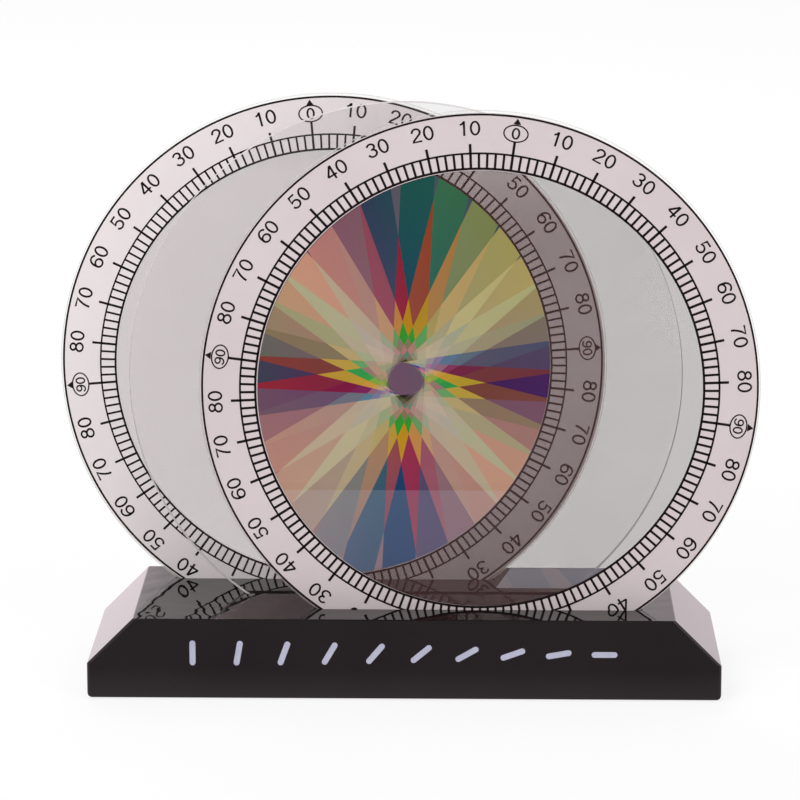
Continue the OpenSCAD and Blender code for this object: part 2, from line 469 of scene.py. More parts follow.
class Shape:
    """A mesh in the making, in millimetres."""

    def __init__(self) -> None:
        """Starts an empty shape."""
        self.points: list[Place] = []
        self.faces: list[tuple[int, ...]] = []
        self.finish_of_face: list[int] = []

    def add(self, points: Iterable[Place], faces: Iterable[Sequence[int]], finish: int = 0) -> None:
        """Adds points and the faces between them.

        Args:
            points: The new points.
            faces: Faces as indices into the new points.
            finish: Which of the piece's finishes the faces have.
        """
        first = len(self.points)
        self.points.extend(points)
        for face in faces:
            self.faces.append(tuple(first + i for i in face))
            self.finish_of_face.append(finish)

    def turn(
        self, profile: Sequence[Flat], centre: Place, axis: Axis, segments: int,
        finishes: Sequence[int] = (), shift: dict[int, Flat] | None = None,
    ) -> None:
        """Turns a profile about an axis into a closed shape.

        Args:
            profile: (radius, height along the axis) from one end to the other. A profile whose ends
                are off the axis closes on itself, and otherwise each end is one flat face.
            centre: A point on the axis.
            axis: The axis.
            segments: The number of steps in a full turn.
            finishes: The finish of the band after each point of the profile.
            shift: How far off centre, sideways and up, single points of the profile are turned.
        """
        capped = profile[0][0] == 0
        skipped = 1 if capped else 0
        rings = profile[1:-1] if capped else profile
        finishes = finishes or [0] * len(profile)
        first = len(self.points)
        for number, (radius, height) in enumerate(rings, skipped):
            aside = (shift or {}).get(number, (0.0, 0.0))
            for step in range(segments):
                turn = 2 * math.pi * step / segments
                u, v = radius * math.sin(turn) + aside[0], radius * math.cos(turn) + aside[1]
                along = (u, height, v) if axis is Axis.Y else (u, v, height)
                self.points.append(tuple(c + a for c, a in zip(centre, along)))
        for band in range(len(rings) - skipped):
            low, high = first + band * segments, first + (band + 1) % len(rings) * segments
            steps = [(step, (step + 1) % segments) for step in range(segments)]
            self.faces += [(low + a, low + b, high + b, high + a) for a, b in steps]
            self.finish_of_face += [finishes[band + skipped]] * segments
        if capped:
            last = first + (len(rings) - 1) * segments
            self.faces.append(tuple(reversed(range(first, first + segments))))
            self.faces.append(tuple(range(last, last + segments)))
            self.finish_of_face += [finishes[0], finishes[-1]]

    def piece(self, name: str, *finishes: Finish, closed: bool = True) -> bpy.types.Object:
        """Makes the named piece.

        Args:
            name: The piece's name.
            *finishes: Its finishes.
            closed: Whether the shape encloses a space, so that its faces can be turned outwards.

        Returns:
            The piece, which rides on nothing yet.
        """
        mesh = bpy.data.meshes.new(name)
        mesh.from_pydata([[c * MM for c in p] for p in self.points], [], self.faces)
        if closed:
            work = bmesh.new()
            work.from_mesh(mesh)
            bmesh.ops.recalc_face_normals(work, faces=work.faces)
            work.to_mesh(mesh)
            work.free()
        piece = placed(name, mesh, *finishes)
        mesh.polygons.foreach_set("material_index", self.finish_of_face)
        return piece


def placed(name: str, mesh: bpy.types.Mesh, *finishes: Finish) -> bpy.types.Object:
    """Puts a mesh in the scene as a named piece.

    Args:
        name: The piece's name.
        mesh: Its mesh, in metres.
        *finishes: Its finishes, one material slot each, in order.

    Returns:
        The piece.
    """
    mesh.materials.clear()
    for finish in finishes:
        mesh.materials.append(Shelf.take(finish))
    mesh.shade_smooth()
    mesh.set_sharp_from_angle(angle=math.radians(SMOOTH_BELOW))
    piece = bpy.data.objects.new(name, mesh)
    bpy.context.scene.collection.objects.link(piece)
    return piece


def arc(centre: Flat, radii: Flat, begin: float, end: float, steps: int = 14) -> list[Flat]:
    """Gives points along part of an oval.

    Args:
        centre: The oval's centre.
        radii: Its half width and half height.
        begin: The angle of the first point from upright, clockwise, in degrees.
        end: The angle of the last point.
        steps: The number of steps between them.

    Returns:
        The points.
    """
    angles = [math.radians(begin + (end - begin) * step / steps) for step in range(steps + 1)]
    return [(centre[0] + radii[0] * math.sin(a), centre[1] + radii[1] * math.cos(a)) for a in angles]


class Digits:
    """Plain upright digits drawn with one pen, in units of their own height."""

    half_width = 0.31
    stretch = 1.2
    pen = 0.122
    loops: dict[str, list[list[Flat]]] = {
        "0": [arc((0.31, 0.5), (0.235, 0.4375), 0, 345, 23)],
        "6": [arc((0.315, 0.315), (0.235, 0.2525), 0, 345, 23)],
        "8": [
            arc((0.31, 0.745), (0.195, 0.1925), 0, 345, 23),
            arc((0.31, 0.305), (0.235, 0.2425), 0, 345, 23),
        ],
        "9": [arc((0.305, 0.685), (0.235, 0.2525), 0, 345, 23)],
    }
    lines: dict[str, list[list[Flat]]] = {
        "1": [[(0.375, 0.0), (0.375, 1.0)], [(0.375, 0.97), (0.33, 0.875), (0.25, 0.80), (0.145, 0.74)]],
        "2": [
            arc((0.31, 0.70), (0.225, 0.2375), -95, 100)
            + [(0.47, 0.54), (0.30, 0.36), (0.12, 0.17), (0.075, 0.0625), (0.565, 0.0625)]
        ],
        "3": [
            arc((0.30, 0.735), (0.205, 0.2025), -75, 155) + [(0.27, 0.535)],
            [(0.27, 0.535)] + arc((0.295, 0.305), (0.24, 0.2425), 20, 260),
        ],
        "4": [[(0.43, 0.0), (0.43, 0.985)], [(0.405, 0.955), (0.045, 0.295)], [(0.03, 0.295), (0.60, 0.295)]],
        "5": [
            [(0.535, 0.9375), (0.175, 0.9375), (0.115, 0.50)]
            + arc((0.30, 0.325), (0.245, 0.2625), -38, 255)
        ],
        "6": [arc((0.375, 0.51), (0.295, 0.4275), 52, -90) + [(0.08, 0.40), (0.085, 0.30)]],
        "7": [[(0.05, 0.9375), (0.555, 0.9375), (0.42, 0.73), (0.31, 0.47), (0.245, 0.22), (0.225, 0.0)]],
        "9": [arc((0.245, 0.49), (0.295, 0.4275), 232, 90) + [(0.54, 0.60), (0.535, 0.70)]],
    }

    @classmethod
    def strokes(cls, digit: str) -> list[tuple[list[Flat], bool]]:
        """Lists the middle line of each stroke of a digit, and whether it closes on itself."""
        closed = [(loop, True) for loop in cls.loops.get(digit, [])]
        return closed + [(line, False) for line in cls.lines.get(digit, [])]


@dataclass(frozen=True)
class Placing:
    """Where a digit stands on a scale."""

    middle: Flat
    height: float
    angle: float

    def put(self, point: Flat) -> Flat:
        """Takes a point of the digit to the scale.

        Args:
            point: The point, in units of the digit's height from its lower left.

        Returns:
            The point, sideways and up from the scale's middle.
        """
        u = (point[0] - Digits.half_width) * Digits.stretch * self.height + self.middle[0]
        v = (point[1] - 0.5) * self.height + self.middle[1]
        return turned((u, v), self.angle)


class Layer:
    """A flat layer of ink, built from polygons as they look from the front."""

    def __init__(self, centre: Flat, front_y: float, thickness: float = 0.03) -> None:
        """Starts an empty layer.

        Args:
            centre: Where the layer's own middle is, sideways and up.
            front_y: The place of its front face.
            thickness: How thick it is towards the back.
        """
        self.centre = centre
        self.front_y = front_y
        self.thickness = thickness
        self.shape = Shape()

    def add(self, points: Sequence[Flat], faces: Sequence[Sequence[int]]) -> None:
        """Adds faces that run anticlockwise as seen from the front, as a thin closed solid.

        Args:
            points: The corners, sideways and up from the layer's middle.
            faces: The faces, as indices into points.
        """
        count = len(points)
        solid: list[Place] = []
        for y in (self.front_y, self.front_y + self.thickness):
            solid += [(self.centre[0] + u, y, self.centre[1] + v) for u, v in points]
        edges = {(f[i], f[(i + 1) % len(f)]) for f in faces for i in range(len(f))}
        walls = [(b, a, a + count, b + count) for a, b in edges if (b, a) not in edges]
        backs = [tuple(i + count for i in reversed(f)) for f in faces]
        self.shape.add(solid, [*faces, *backs, *sorted(walls)])

    def polygon(self, points: Sequence[Flat]) -> None:
        """Adds one polygon, whose corners run anticlockwise."""
        self.add(points, [tuple(range(len(points)))])

    def band(
        self, inner: float, outer: float, segments: int = 360, stretch: Flat = (1, 1),
        at: Flat = (0, 0), turn: float = 0.0,
    ) -> None:
        """Adds a round or oval line.

        Args:
            inner: The line's inner radius.
            outer: Its outer radius.
            segments: The number of steps round it.
            stretch: How many times wider and taller than a circle its middle line is.
            at: Its centre.
            turn: How far it is turned clockwise, in degrees.
        """
        middle, half = (inner + outer) / 2, (outer - inner) / 2
        points: list[Flat] = []
        for sign in (-1, 1):
            for step in range(segments):
                a = 2 * math.pi * step / segments
                u = (middle * stretch[0] + sign * half) * math.cos(a)
                v = (middle * stretch[1] + sign * half) * math.sin(a)
                points.append(turned((u, v), turn, at))
        faces = [
            (step, segments + step, segments + (step + 1) % segments, (step + 1) % segments)
            for step in range(segments)
        ]
        self.add(points, faces)

    def tick(self, angle: float, start: float, end: float, width: float) -> None:
        """Adds a radial line at an angle from upright, clockwise, in degrees."""
        corners = [(-width / 2, start), (width / 2, start), (width / 2, end), (-width / 2, end)]
        self.polygon([turned(corner, angle) for corner in corners])

    def bar(self, at: Flat, length: float, width: float, angle: float) -> None:
        """Adds a bar with round ends.

        Args:
            at: Its middle.
            length: Its length.
            width: Its width.
            angle: Its lean from upright, clockwise, in degrees.
        """
        points: list[Flat] = []
        for sign, begin in ((1, 0.0), (-1, 180.0)):
            for step in range(13):
                a = math.radians(begin + 15.0 * step)
                centre_v = sign * (length - width) / 2
                points.append((width / 2 * math.cos(a), centre_v + width / 2 * math.sin(a)))
        self.polygon([turned(p, angle, at) for p in points])

    def stroke(self, line: Sequence[Flat], width: float, closed: bool, place: Placing) -> None:
        """Adds a line of even width.

        Args:
            line: Its middle line.
            width: Its width, in the line's own units.
            closed: Whether the line closes on itself.
            place: Takes a point of the line to the layer.
        """
        count = len(line)
        points: list[Flat] = []
        for i, (u, v) in enumerate(line):
            before = line[i - 1] if closed or i else line[i]
            after = line[(i + 1) % count] if closed or i < count - 1 else line[i]
            normals = []
            for (a, b), (c, d) in ((before, (u, v)), ((u, v), after)):
                length = math.hypot(c - a, d - b)
                if length > 1e-9:
                    normals.append(((b - d) / length, (c - a) / length))
            nu, nv = (sum(n[k] for n in normals) / len(normals) for k in range(2))
            grow = width / 2 / max(nu * nu + nv * nv, 0.4)
            points += [place.put((u - nu * grow, v - nv * grow)), place.put((u + nu * grow, v + nv * grow))]
        last = count if closed else count - 1
        faces = []
        for i in range(last):
            j = (i + 1) % count
            faces.append((2 * i, 2 * j, 2 * j + 1, 2 * i + 1))
        self.add(points, faces)

    def numeral(
        self, text: str, height: float, radius: float, angle: float, pitch: float, pen: float = Digits.pen
    ) -> None:
        """Adds a number whose top points outwards.

        Args:
            text: The number.
            height: The height of its digits.
            radius: The radius of its middle.
            angle: Its angle from upright, clockwise, in degrees.
            pitch: The distance between the middles of two digits.
            pen: The width of the strokes, as a share of the height.
        """
        for number, digit in enumerate(text):
            aside = (number - (len(text) - 1) / 2) * pitch
            place = Placing((aside, radius), height, angle)
            for line, closed in Digits.strokes(digit):
                self.stroke(line, pen, closed, place)

    def piece(self, name: str, finish: Finish) -> bpy.types.Object:
        """Makes the named piece."""
        return self.shape.piece(name, finish, closed=False)


def turned(point: Flat, angle: float, at: Flat = (0.0, 0.0)) -> Flat:
    """Turns a flat point clockwise, as seen from the front, and moves it.

    Args:
        point: The point, sideways and up.
        angle: The angle in degrees.
        at: What is added after the turn.

    Returns:
        The point's new place.
    """
    s, c = math.sin(math.radians(angle)), math.cos(math.radians(angle))
    return point[0] * c + point[1] * s + at[0], point[1] * c - point[0] * s + at[1]


# The colours between two polarizers


@dataclass(frozen=True)
class Strain:
    """The strain that a clear pane holds, which delays light. Places are in mm from the crossing.

    The delay is in nanometres: in the middle, and more for each mm sideways and up. The bend is
    what is added for each 100 square mm sideways, slanting and up. The angle is in radians: in the
    middle, and more for each 100 mm sideways and up.
    """

    delay: Place
    bend: Place
    angle: Place

    def delay_at(self, u: float, v: float) -> float:
        """Gives the delay at a place."""
        bend = self.bend[0] * u * u + self.bend[1] * u * v + self.bend[2] * v * v
        return self.delay[0] + self.delay[1] * u + self.delay[2] * v + bend / 100

    def angle_at(self, u: float, v: float) -> float:
        """Gives the angle at a place."""
        return self.angle[0] + (self.angle[1] * u + self.angle[2] * v) / 100


@dataclass(frozen=True)
class PolarizedLight:
    """The colour of white light behind a polarizer, crossed clear strips and a second polarizer.

    Angles are in radians, clockwise from upright, and delays in nanometres. The strips were laid
    one after the other, and each was stretched a little differently.
    """

    strip_delay: float = 394.5
    own_delays: tuple[float, ...] = (
        6.6, 3.1, -3.1, -5.8, -5.5, 1.8, 0.1, -0.6,
        -15.8, 3.8, 2.6, -3.9, -6.6, 3.6, 19.7, -3.2,
    )
    first_strip: int = 7
    polarizer: float = 2.0623
    analyzer: float = 2.8479
    dispersion: float = -0.0008
    green: float = 550.0
    rear_pane: Strain = Strain(
        (1381.16, 1.583, 0.98), (-2.183, -0.028, -0.042), (1.9221, -0.024, -0.087)
    )
    front_pane: Strain = Strain(
        (383.17, -7.812, 5.06), (0.996, 4.405, -5.662), (1.2853, 0.059, 0.077)
    )
    gain: Colour = (0.568, 0.468, 0.446)
    haze: Colour = (-0.0087, -0.0255, -0.0479)
    contrast: float = 0.999
    saturation: float = 0.844
    shade: tuple[Flat, float] = ((-32.9, -30.8), 0.97)
    veil: Colour = (0.057, 0.065, 0.078)
    veil_share: float = 0.1
    greys: Colour = (0.3, 0.59, 0.11)
    darkest: float = 0.004

    def waves(self) -> np.ndarray:
        """The wavelengths that stand for white light, in nanometres."""
        return np.linspace(410, 690, 15)

    def eye(self) -> np.ndarray:
        """The red, green and blue that each wavelength adds, so that all of them make white.

        Returns:
            Three rows, one for each of red, green and blue.
        """
        waves = self.waves()

        def bell(middle: float, below: float, above: float) -> np.ndarray:
            """A bell curve with two widths, one on each side of its middle."""
            return np.exp(-0.5 * ((waves - middle) / np.where(waves < middle, below, above)) ** 2)

        x = 1.056 * bell(599.8, 37.9, 31.0) + 0.362 * bell(442.0, 16.0, 26.7)
        x = x - 0.065 * bell(501.1, 20.4, 26.2)
        y = 0.821 * bell(568.8, 46.9, 40.5) + 0.286 * bell(530.9, 16.3, 31.1)
        z = 1.217 * bell(437.0, 11.8, 36.0) + 0.681 * bell(459.0, 26.0, 13.8)
        seen = np.stack([x, y, z])
        white = np.array([0.9505, 1.0, 1.089])
        to_screen = np.array(
            [[3.2406, -1.5372, -0.4986], [-0.9689, 1.8758, 0.0415], [0.0557, -0.2040, 1.0570]]
        )
        return to_screen @ np.diag(white / seen.sum(1)) @ seen

    def colour(self, leans: Sequence[tuple[int, float]], u: float, v: float) -> Colour:
        """Gives the colour at one place.

        Args:
            leans: The strips that cover it, each as its number from 0 and its lean in radians.
            u: How far right of the strips' crossing it is.
            v: How far above the crossing it is.

        Returns:
            The colour.
        """
        waves = self.waves()
        phase = math.pi * (1 + self.dispersion * ((self.green / waves) ** 2 - 1)) / waves
        ex = np.full(waves.shape, math.cos(self.polarizer), complex)
        ey = np.full(waves.shape, math.sin(self.polarizer), complex)
        ex, ey = self.plate(ex, ey, phase * self.rear_pane.delay_at(u, v), self.rear_pane.angle_at(u, v))
        count = StripPattern.count
        for number, lean in sorted(leans, key=lambda strip: (strip[0] - self.first_strip) % count):
            ex, ey = self.plate(ex, ey, phase * (self.strip_delay + self.own_delays[number]), lean)
        ex, ey = self.plate(ex, ey, phase * self.front_pane.delay_at(u, v), self.front_pane.angle_at(u, v))
        passed = np.abs(ex * math.cos(self.analyzer) + ey * math.sin(self.analyzer)) ** 2
        light = np.clip(self.eye() @ passed, 1e-5, None) ** self.contrast * np.array(self.gain)
        grey = float(light @ np.array(self.greys))
        light = np.clip(grey + (light - grey) * self.saturation, 0.0, None) + np.array(self.haze)
        return tuple(float(c) for c in np.clip(light, self.darkest, 1.0))

    def veiled(self, colour: Colour, level: float) -> Colour:
        """Adds a painted reflection of the table in the front pane, which shows low on the disc, and a
        painted shade band just above it.

        Args:
            colour: The colour of the light.
            level: How far above the crossing it is.

        Returns:
            The colour with the veil.
        """
        (low, high), darker = self.shade
        if level > high:
            return colour
        if level > low:
            return tuple(c * darker for c in colour)
        return tuple(c * (1 - self.veil_share) + v for c, v in zip(colour, self.veil))

    @staticmethod
    def plate(
        ex: np.ndarray, ey: np.ndarray, half_delay: np.ndarray, angle: float
    ) -> tuple[np.ndarray, np.ndarray]:
        """Passes light through a plate that delays one direction.

        Args:
            ex: The light's sideways part at each wavelength.
            ey: Its upright part.
            half_delay: Half of the delay at each wavelength, in radians.
            angle: The plate's angle.

        Returns:
            Both parts behind the plate.
        """
        c, s = np.cos(half_delay), np.sin(half_delay)
        along, across = math.cos(2 * angle), math.sin(2 * angle)
        ahead = (c - 1j * s * along) * ex - 1j * s * across * ey
        return ahead, -1j * s * across * ex + (c + 1j * s * along) * ey


@dataclass(frozen=True)
class StripPattern:
    """Clear strips that all cross near the middle of a disc, each laid by hand.

    The leans are in degrees, clockwise from upright, and the asides are how far to the right of the
    middle, for an upright strip, each one passes it.
    """

    width: float = 9.6
    reach: float = 78.0
    reach_steps: int = 240
    leans: tuple[float, ...] = (
        2.75, 13.85, 24.8, 36.25, 47.7, 58.95, 70.2, 81.35,
        92.55, 104.05, 115.1, 126.4, 137.5, 149.15, 160.4, 171.0,
    )
    asides: tuple[float, ...] = (
        0.4, -0.35, -0.1, -0.2, 0.1, -0.55, -0.5, -0.55,
        -0.2, 0.05, 0.2, 0.3, 0.7, 0.15, 0.05, 0.55,
    )
    count = 16

    def lean(self, number: int) -> float:
        """The lean of a strip, counted from 0, clockwise from upright in radians."""
        return math.radians(self.leans[number])

    def covering(self, u: float, v: float) -> list[tuple[int, float]]:
        """Lists the strips that cover a place.

        Args:
            u: How far right of the crossing it is.
            v: How far above the crossing it is.

        Returns:
            The number and lean of each strip there.
        """
        strips = [(number, self.lean(number)) for number in range(self.count)]
        asides = [u * math.cos(lean) - v * math.sin(lean) - self.asides[number] for number, lean in strips]
        return [strip for strip, aside in zip(strips, asides) if abs(aside) < self.width / 2]

    def cells(self, outline: Sequence[Flat], levels: Sequence[float] = ()) -> bmesh.types.BMesh:
        """Cuts a flat outline along the edges of all strips.

        Args:
            outline: The outline, sideways and up from the crossing, anticlockwise.
            levels: Heights at which the outline is also cut.

        Returns:
            A flat mesh with one face for each cell, sideways in X and up in Z.
        """
        work = bmesh.new()
        work.faces.new([work.verts.new((u, 0.0, v)) for u, v in outline])
        cuts = []
        for number in range(self.count):
            across = Vector((math.cos(self.lean(number)), 0.0, -math.sin(self.lean(number))))
            cuts += [(across * (self.asides[number] + side * self.width / 2), across) for side in (-1, 1)]
        cuts += [(Vector((0.0, 0.0, level)), Vector((0.0, 0.0, 1.0))) for level in levels]
        for place, across in cuts:
            everything = [*work.verts, *work.edges, *work.faces]
            bmesh.ops.bisect_plane(work, geom=everything, dist=1e-4, plane_co=place, plane_no=across)
        return work


# The sub-assemblies


def settle(piece: bpy.types.Object, body: str, *nodes: str) -> None:
    """Lets a finished piece ride on its body in place of some CAD nodes, and reports it.

    Args:
        piece: The piece.
        body: The body's name.
        *nodes: The names of the nodes, if it stands for any.
    """
    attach(piece, body)
    if nodes:
        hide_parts(*nodes)
    log.info("%s: %d faces", piece.name, len(piece.data.polygons))


def see_through(piece: bpy.types.Object) -> None:
    """Lets the light of the studio through a clear piece."""
    piece.visible_shadow = piece.visible_diffuse = False


def clear_panes(name: str, centre: Place, radius: float, ends: Flat, *finishes: Finish) -> bpy.types.Object:
    """Makes both panes of a disc as one clear solid with a polished rim.

    Args:
        name: The piece's name.
        centre: The disc's centre.
        radius: Its radius.
        ends: How far behind the centre its front and its back are.
        *finishes: The finishes of its faces and of its rim.

    Returns:
        The panes.
    """
    r, e, (front, back) = radius, PANE_EDGE, ends
    profile = [(0, front), (r - e, front), (r, front + e), (r, back - e), (r - e, back), (0, back)]
    shape = Shape()
    shape.turn(profile, centre, Axis.Y, DISC_STEPS, (0, 1, 1, 1, 0))
    panes = shape.piece(name, *finishes)
    see_through(panes)
    return panes


def painted_sheet(
    name: str, cells: bmesh.types.BMesh, finish: PaintedFilm, tints: Iterable[Iterable[Sequence[float]]],
    shift: Place, scale: float = 1.0,
) -> bpy.types.Object:
    """Makes a thin sheet whose cells have their colours painted on.

    Args:
        name: The piece's name.
        cells: The cells, which are used up.
        finish: Its finish.
        tints: The colour and cover of each corner of each cell.
        shift: Where the middle of the cells is put.
        scale: The cells' size on the sheet.

    Returns:
        The sheet.
    """
    mesh = bpy.data.meshes.new(name)
    cells.to_mesh(mesh)
    cells.free()
    paint = mesh.color_attributes.new(finish.layer, "FLOAT_COLOR", "CORNER")
    for polygon, corners in zip(mesh.polygons, tints):
        for corner, tint in zip(polygon.loop_indices, corners):
            paint.data[corner].color = tint
    for vertex in mesh.vertices:
        vertex.co = Vector([c * scale + s for c, s in zip(vertex.co, shift)]) * MM
    sheet = placed(name, mesh, finish)
    see_through(sheet)
    return sheet


@dataclass
class BaseStand:
    """The black base: a shell with sloped ends, its cover, cradles, screws and feet."""

    length: float = 182.0
    depth: float = 58.5
    height: float = 23.5
    floor: float = 0.5
    end_slope: float = 13.5
    wall: float = 2.2
    edge: float = 0.3
    slope_edge: float = 0.75
    corner: float = 1.3
    edge_steps: int = 4
    slot_flare: float = 0.2
    slots: tuple[tuple[Flat, float], ...] = (
        ((21.3, -16.7), 2.65), ((0.0, 0.0), 2.84), ((-21.3, 16.7), 2.65),
    )
    slot_half_length: float = 47.18
    foot_radius: float = 5.0
    foot_height: float = 1.5
    foot_place: Flat = (66.0, 19.25)
    foot_steps: int = 72
    motif_bars: int = 10
    motif_start: float = -60.5
    motif_step: float = 13.1
    motif_level: float = 13.9
    bar_length: float = 7.4
    bar_width: float = 1.7

    def outline(self, inset: float, drop: float = 0.0) -> list[Flat]:
        """The base's end view.

        Args:
            inset: How far the outline is moved inwards.
            drop: How far its floor is moved down.

        Returns:
            Its corners, sideways and up, anticlockwise from the lower left.
        """
        half = self.length / 2 - inset
        share = (math.sqrt(2) - 1) * inset
        shoulder = self.floor + self.height - self.end_slope - share
        top = self.floor + self.height - inset
        top_half = self.length / 2 - self.end_slope - share
        low = self.floor - drop
        right = [(half, low), (half, shoulder), (top_half, top)]
        return [(-half, low), *right, (-top_half, top), (-half, shoulder)]

    def prism(self, name: str, outline: Sequence[Flat], depth: float) -> bpy.types.Object:
        """Makes a solid with one outline from front to back.

        Args:
            name: The solid's name.
            outline: Its outline, sideways and up.
            depth: Its depth, centred on Y.

        Returns:
            The solid.
        """
        count = len(outline)
        shape = Shape()
        points = [(u, y, v) for y in (-depth / 2, depth / 2) for u, v in outline]
        sides = [(i, (i + 1) % count, (i + 1) % count + count, i + count) for i in range(count)]
        ends = [tuple(reversed(range(count))), tuple(range(count, 2 * count))]
        shape.add(points, [*sides, *ends])
        return shape.piece(name)

    def slot_cutter(self, number: int) -> bpy.types.Object:
        """Makes the solid that cuts one slot, flared at the top face.

        Args:
            number: The slot's number, from 0 at the front.

        Returns:
            The solid.
        """
        (x, y), width = self.slots[number]
        top = self.floor + self.height
        levels = ((top - self.wall - 1, 0.0), (top - self.slot_flare, 0.0), (top + 1, 1 + self.slot_flare))
        points: list[Place] = []
        for z, grow in levels:
            a, b = self.slot_half_length + grow, width / 2 + grow
            points += [(x - a, y - b, z), (x + a, y - b, z), (x + a, y + b, z), (x - a, y + b, z)]
        faces: list[tuple[int, ...]] = [(3, 2, 1, 0), (8, 9, 10, 11)]
        for low in (0, 4):
            faces += [(low + i, low + (i + 1) % 4, low + 4 + (i + 1) % 4, low + 4 + i) for i in range(4)]
        shape = Shape()
        shape.add(points, faces)
        return shape.piece(f"slot_cutter_{number}")

    def build_shell(self) -> None:
        """Builds the shell with rounded edges, its room and its slots."""
        body = self.prism("shell_body", self.outline(0.0), self.depth)
        sizes = body.data.attributes.new("bevel_weight_edge", "FLOAT", "EDGE")
        low = (self.floor + 1e-3) * MM
        for edge in body.data.edges:
            a, b = (body.data.vertices[i].co for i in edge.vertices)
            upright = abs(a.x - b.x) + abs(a.y - b.y) < 1e-6
            end_floor = a.z < low and b.z < low and abs(a.x - b.x) < 1e-6
            slope_end = abs(a.x - b.x) > 1e-6 and abs(a.z - b.z) > 1e-6
            width = self.corner if upright or end_floor else self.slope_edge if slope_end else self.edge
            sizes.data[edge.index].value = width / self.corner
        bevel = body.modifiers.new("edges", "BEVEL")
        bevel.limit_method = "WEIGHT"
        bevel.width = self.corner * MM
        bevel.segments = self.edge_steps
        cutters = [self.prism("shell_room", self.outline(self.wall, 1.0), self.depth - 2 * self.wall)]
        cutters += [self.slot_cutter(number) for number in range(len(self.slots))]
        for cutter in cutters:
            cut = body.modifiers.new(cutter.name, "BOOLEAN")
            cut.operation, cut.solver, cut.object = "DIFFERENCE", "EXACT", cutter
        graph = bpy.context.evaluated_depsgraph_get()
        mesh = bpy.data.meshes.new_from_object(body.evaluated_get(graph))
        for helper in (body, *cutters):
            bpy.data.objects.remove(helper)
        shell = placed("base_moulding", mesh, Shelf.gloss_black)
        shell.modifiers.new("flat_faces", "WEIGHTED_NORMAL").keep_sharp = True
        graph = bpy.context.evaluated_depsgraph_get()
        shell.data = bpy.data.meshes.new_from_object(shell.evaluated_get(graph))
        shell.modifiers.clear()
        settle(shell, "base", "base_shell")

    def build_feet(self) -> None:
        """Builds the four feet, each with a rounded edge and a shallow dish."""
        r, h = self.foot_radius, self.foot_height
        profile = [
            (0, 0.12), (r - 2.2, 0.12), (r - 1.7, 0.0), (r - 0.35, 0.0), (r - 0.1, 0.1),
            (r, 0.35), (r, h - 0.1), (r - 0.1, h), (0, h),
        ]
        for end, side in ((-1, -1), (1, -1), (-1, 1), (1, 1)):
            name = f"foot_{'front' if side < 0 else 'rear'}_{'left' if end < 0 else 'right'}"
            shape = Shape()
            centre = (end * self.foot_place[0], side * self.foot_place[1], 0.0)
            shape.turn(profile, centre, Axis.Z, self.foot_steps)
            settle(shape.piece(f"rubber_{name}", Shelf.rubber), "base", name)

    def build_motif(self) -> None:
        """Prints a row of bars, each turned a little more, on the front face."""
        layer = Layer((0.0, 0.0), -self.depth / 2 - PRINT_STAND)
        for number in range(self.motif_bars):
            at = (self.motif_start + self.motif_step * number, self.motif_level)
            layer.bar(at, self.bar_length, self.bar_width, 90.0 * number / (self.motif_bars - 1))
        settle(layer.piece("front_motif", Shelf.lavender_ink), "base")

    def dress(self) -> None:
        """Gives the parts that stay as they are in CAD their finishes."""
        for node, finish in (
            ("bottom_cover", Shelf.matt_black),
            ("cover_screws", Shelf.steel),
            ("front_cradle", Shelf.satin_black),
            ("middle_cradle", Shelf.satin_black),
            ("rear_cradle", Shelf.satin_black),
        ):
            dress_node(node, finish)

    def build(self) -> None:
        """Builds and dresses the whole base."""
        self.build_shell()
        self.build_feet()
        self.build_motif()
        self.dress()


def dress_node(node: str, finish: Finish) -> None:
    """Gives a CAD node that stays visible its finish.

    Args:
        node: The node's name.
        finish: Its finish.
    """
    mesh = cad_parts[node].data
    if not mesh.materials:
        mesh.materials.append(None)
    for number in range(len(mesh.materials)):
        mesh.materials[number] = Shelf.take(finish)
    log.info("%s: %s", node, finish.name)


